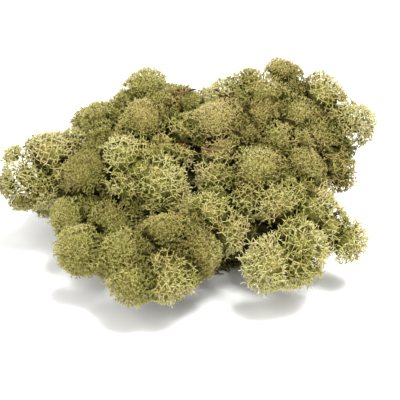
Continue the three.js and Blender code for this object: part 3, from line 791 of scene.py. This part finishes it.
def ramp_node(nodes, stops):
    """A colour ramp with the given (place, colour) stops."""
    node = nodes.new("ShaderNodeValToRGB")
    elements = node.color_ramp.elements
    elements[0].position, elements[0].color = stops[0][0], (*stops[0][1], 1)
    elements[1].position, elements[1].color = stops[-1][0], (*stops[-1][1], 1)
    for place, colour in stops[1:-1]:
        elements.new(place).color = (*colour, 1)
    return node


def math_node(nodes, links, operation, *values):
    """A Math node whose inputs are numbers or other nodes' outputs."""
    node = nodes.new("ShaderNodeMath")
    node.operation = operation
    for socket, value in zip(node.inputs, values):
        if isinstance(value, bpy.types.NodeSocket):
            links.new(value, socket)
        else:
            socket.default_value = value
    return node.outputs[0]


def attribute_node(nodes, name):
    """A mesh attribute's value."""
    node = nodes.new("ShaderNodeAttribute")
    node.attribute_name = name
    return node.outputs["Fac"]


def swing_node(nodes, links, place, waves, width):
    """Noise at the place, with this many waves to a metre, from half the width below 0 to half above."""
    node = nodes.new("ShaderNodeTexNoise")
    node.inputs["Scale"].default_value = waves
    node.inputs["Detail"].default_value = NOISE_DETAIL
    links.new(place, node.inputs["Vector"])
    return math_node(nodes, links, "MULTIPLY_ADD", node.outputs["Fac"], width, -width / 2)


def grain_group():
    """Group: a fine grain's height at a place, and a faint light and dark fleck with it."""
    group = bpy.data.node_groups.new("stem_grain", "ShaderNodeTree")
    group.interface.new_socket("Place", in_out="INPUT", socket_type="NodeSocketVector")
    group.interface.new_socket("Fineness", in_out="INPUT", socket_type="NodeSocketFloat")
    group.interface.new_socket("Height", in_out="OUTPUT", socket_type="NodeSocketFloat")
    group.interface.new_socket("Fleck", in_out="OUTPUT", socket_type="NodeSocketFloat")
    nodes, links = group.nodes, group.links
    entry, leave = nodes.new("NodeGroupInput"), nodes.new("NodeGroupOutput")
    noise = nodes.new("ShaderNodeTexNoise")
    links.new(entry.outputs["Place"], noise.inputs["Vector"])
    links.new(entry.outputs["Fineness"], noise.inputs["Scale"])
    links.new(noise.outputs["Fac"], leave.inputs["Height"])
    fleck = math_node(nodes, links, "MULTIPLY_ADD", noise.outputs["Fac"], *FLECK)
    links.new(fleck, leave.inputs["Fleck"])
    return group


def finish_stems(nodes, links, colour, fineness, roughness):
    """Feeds a colour, flecked and with a fine grain, to the material's shader."""
    shader = nodes["Principled BSDF"]
    place = nodes.new("ShaderNodeTexCoord").outputs["Object"]
    grain = nodes.new("ShaderNodeGroup")
    grain.node_tree = GRAIN
    grain.inputs["Fineness"].default_value = fineness
    links.new(place, grain.inputs["Place"])
    shade = nodes.new("ShaderNodeVectorMath")
    shade.operation = "SCALE"
    links.new(colour, shade.inputs[0])
    links.new(grain.outputs["Fleck"], shade.inputs["Scale"])
    links.new(shade.outputs[0], shader.inputs["Base Color"])
    shader.inputs["Roughness"].default_value = roughness
    shader.inputs["Specular IOR Level"].default_value = 0
    bump = nodes.new("ShaderNodeBump")
    bump.inputs["Strength"].default_value = GRAIN_STRENGTH
    bump.inputs["Distance"].default_value = GRAIN_HEIGHT
    links.new(grain.outputs["Height"], bump.inputs["Height"])
    links.new(bump.outputs["Normal"], shader.inputs["Normal"])


def moss_material():
    """Stems that follow the painted light mark, from near black painted shade inside through olive to pale
    tips, with a fine mottle of the same colours. Ochre patches come from the ochre mark and a noise over the
    clump, and the tint makes single stems paler."""
    material, nodes, links = new_material("moss")
    place = nodes.new("ShaderNodeTexCoord").outputs["Object"]
    tint, ochre = attribute_node(nodes, "tint"), attribute_node(nodes, "ochre")
    mottle = swing_node(nodes, links, place, *MOTTLE)
    # along is the painted light and shade; the mottle and the tint move it a little on the ramps.
    along = math_node(nodes, links, "ADD", mottle, attribute_node(nodes, "along"))
    along = math_node(nodes, links, "MULTIPLY_ADD", tint, TINT_SHIFT, along)
    patch = swing_node(nodes, links, place, *PATCHES)
    patch = math_node(nodes, links, "ADD", patch, ochre)
    patch = math_node(nodes, links, "MULTIPLY_ADD", tint, TINT_OCHRE, patch)
    green, brown = ramp_node(nodes, GREEN_STOPS), ramp_node(nodes, OCHRE_STOPS)
    links.new(along, green.inputs[0])
    links.new(along, brown.inputs[0])
    mix = nodes.new("ShaderNodeMix")
    mix.data_type = "RGBA"
    mix.clamp_factor = True
    links.new(patch, mix.inputs["Factor"])
    links.new(green.outputs[0], mix.inputs["A"])
    links.new(brown.outputs[0], mix.inputs["B"])
    finish_stems(nodes, links, mix.outputs["Result"], fineness=2600, roughness=0.9)
    return material


def ramp_material(name, stops, fineness, roughness):
    """A material whose colour follows the along mark: painted light and shade on the old stems, the place
    along the rod on the twig and the needles.
    """
    material, nodes, links = new_material(name)
    ramp = ramp_node(nodes, stops)
    links.new(attribute_node(nodes, "along"), ramp.inputs[0])
    finish_stems(nodes, links, ramp.outputs[0], fineness, roughness)
    return material


# -------------------------------- the clump

def build_tufts():
    """Every tuft as one piece that stands for its node."""
    moss = moss_material()
    for index, (node, (habit, ochre, light, lobes)) in enumerate(TUFTS.items()):
        random = np.random.default_rng(TUFT_SEED + index)
        skein = Skein()
        for lobe in np.array(lobes, float):
            own, others = balls_round(lobe)
            add_lobe(skein, lobe, own, others, HABITS[habit], ochre, random)
        # The tuft's painted light and shade scales the light mark of all its stems and skins.
        for marks in skein.marks:
            marks[:, 0] *= light
        mesh_of(node + "_forks", skein, moss, node)


def build_old_stems():
    """The tangle inside: small green forks where it comes near the clump's upper side, below them long,
    thick old ones, dark both in their own colour and in painted shade, and a bed of stems pressed flat on
    the ground."""
    random = np.random.default_rng(OLD_SEED)
    skein = Skein()
    for lobe in np.array(OLD_STEMS, float):
        habit, light = ("under", UPPER_LIGHT) if lobe[2] >= UPPER_FROM else ("old", LOWER_LIGHT)
        own, others = balls_round(lobe)
        first = len(skein.marks)
        add_lobe(skein, lobe, own, others, HABITS[habit], 0, random)
        for marks in skein.marks[first:]:
            marks[:, 0] *= light
    for lobe in OLD_STEMS:
        add_bed(skein, lobe, random)
    old = ramp_material("old_stems", OLD_STOPS, fineness=1800, roughness=0.95)
    mesh_of("old_stems_tangle", skein, old, "old_stems")


def build_sticks():
    """The twig and the needles: rods a little thinner at their blunt ends, with faint knots."""
    t = np.linspace(0, 1, STICK_RINGS)
    taper = STICK_END + STICK_SWELL * np.sin(np.pi * t) ** 0.5
    knots = 1 + KNOTS * np.cos(KNOT_TURN * t)
    for node, rods in STICKS.items():
        skein = Skein()
        for corners, radius in rods:
            line = curve_through(corners, STICK_RINGS)
            thick = radius * taper * knots
            skein.add_stems(line[None], thick[None], t[None], np.zeros(1), np.zeros(1), sides=STICK_SIDES)
        bark = ramp_material(node + "_bark", STICK_STOPS[node], fineness=1500, roughness=0.6)
        mesh_of(node + "_bark", skein, bark, node)


def all_balls():
    """For each lobe, as a tuple, its florets, its core and its share of the florets in the seams. A lobe of
    old stems is one plain ball."""
    random = np.random.default_rng(FLORET_SEED)
    lobes = np.array([lobe for *_, lobes in TUFTS.values() for lobe in lobes], float)
    balls = {lobe: np.array([lobe], float) for lobe in OLD_STEMS}
    for index, lobe in enumerate(lobes):
        seams = [florets_between(lobe, neighbour, random) for neighbour in lobes[index + 1 :]]
        florets = np.concatenate([florets_of(lobe, random), *seams])
        florets = florets[clear_of_sticks(florets[:, :3], florets[:, 3] + FLORET_ROOM)]
        balls[tuple(lobe)] = np.concatenate([florets, [[*lobe[:3], lobe[3] - CORE_SINK]]])
    return balls


def balls_round(lobe):
    """The lobe's own balls, and those of other lobes that its surface could meet."""
    rest = np.concatenate([balls for key, balls in BALLS.items() if key != tuple(lobe)])
    gap = np.linalg.norm(rest[:, :3] - lobe[:3], axis=1) - rest[:, 3] - lobe[3]
    return BALLS[tuple(lobe)], rest[gap < MEETS]


GRAIN = grain_group()
BALLS = all_balls()
build_tufts()
build_old_stems()
build_sticks()

# -------------------------------- room, light and camera

# Lengths are in metres from here on.
FLOOR_HALF = 6.0
FLOOR_SINK = 0.0002  # so that the floor doesn't touch what lies on it
LAMPS = {  # place, width and power
    "key": ((0.35, -0.35, 1.4), 0.5, 38),
    "fill": ((-0.6, -1.0, 0.9), 0.9, 10),
}
LAMPS_AIM = (0, 0, 0.05)
CAMERA_PLACE = (0.0062, -0.537, 0.322)
CAMERA_DOWN = 28  # degrees
LENS, SENSOR = 85.6, 36  # millimetres


def build_room():
    """A pale floor, a white surround, one broad soft light from above the front and a weaker one."""
    mesh = bpy.data.meshes.new("floor")
    square = [(-FLOOR_HALF, -FLOOR_HALF, 0), (FLOOR_HALF, -FLOOR_HALF, 0)]
    square += [(FLOOR_HALF, FLOOR_HALF, 0), (-FLOOR_HALF, FLOOR_HALF, 0)]
    mesh.from_pydata(square, [], [(0, 1, 2, 3)])
    floor = bpy.data.objects.new("floor", mesh)
    bpy.context.scene.collection.objects.link(floor)
    material, nodes, _ = new_material("pale_floor")
    shader = nodes["Principled BSDF"]
    shader.inputs["Base Color"].default_value = (0.9, 0.9, 0.9, 1)
    shader.inputs["Roughness"].default_value = 0.9
    mesh.materials.append(material)
    floor.location.z = -FLOOR_SINK
    world = bpy.data.worlds.new("surround")
    world.use_nodes = True
    world.node_tree.nodes["Background"].inputs["Color"].default_value = (1, 1, 1, 1)
    world.node_tree.nodes["Background"].inputs["Strength"].default_value = 1.0
    bpy.context.scene.world = world
    for name, (place, size, power) in LAMPS.items():
        light = bpy.data.lights.new(name, "AREA")
        light.size, light.energy = size, power
        lamp = bpy.data.objects.new(name, light)
        lamp.location = place
        lamp.rotation_euler = (Vector(LAMPS_AIM) - Vector(place)).to_track_quat("-Z", "Y").to_euler()
        bpy.context.scene.collection.objects.link(lamp)


def build_camera():
    """The camera looks down at the clump's front."""
    data = bpy.data.cameras.new("camera")
    data.lens, data.sensor_width = LENS, SENSOR
    camera = bpy.data.objects.new("camera", data)
    camera.location = CAMERA_PLACE
    camera.rotation_euler = (np.radians(90 - CAMERA_DOWN), 0, 0)
    bpy.context.scene.collection.objects.link(camera)
    bpy.context.scene.camera = camera


build_room()
build_camera()
bpy.context.scene.view_settings.view_transform = "Standard"
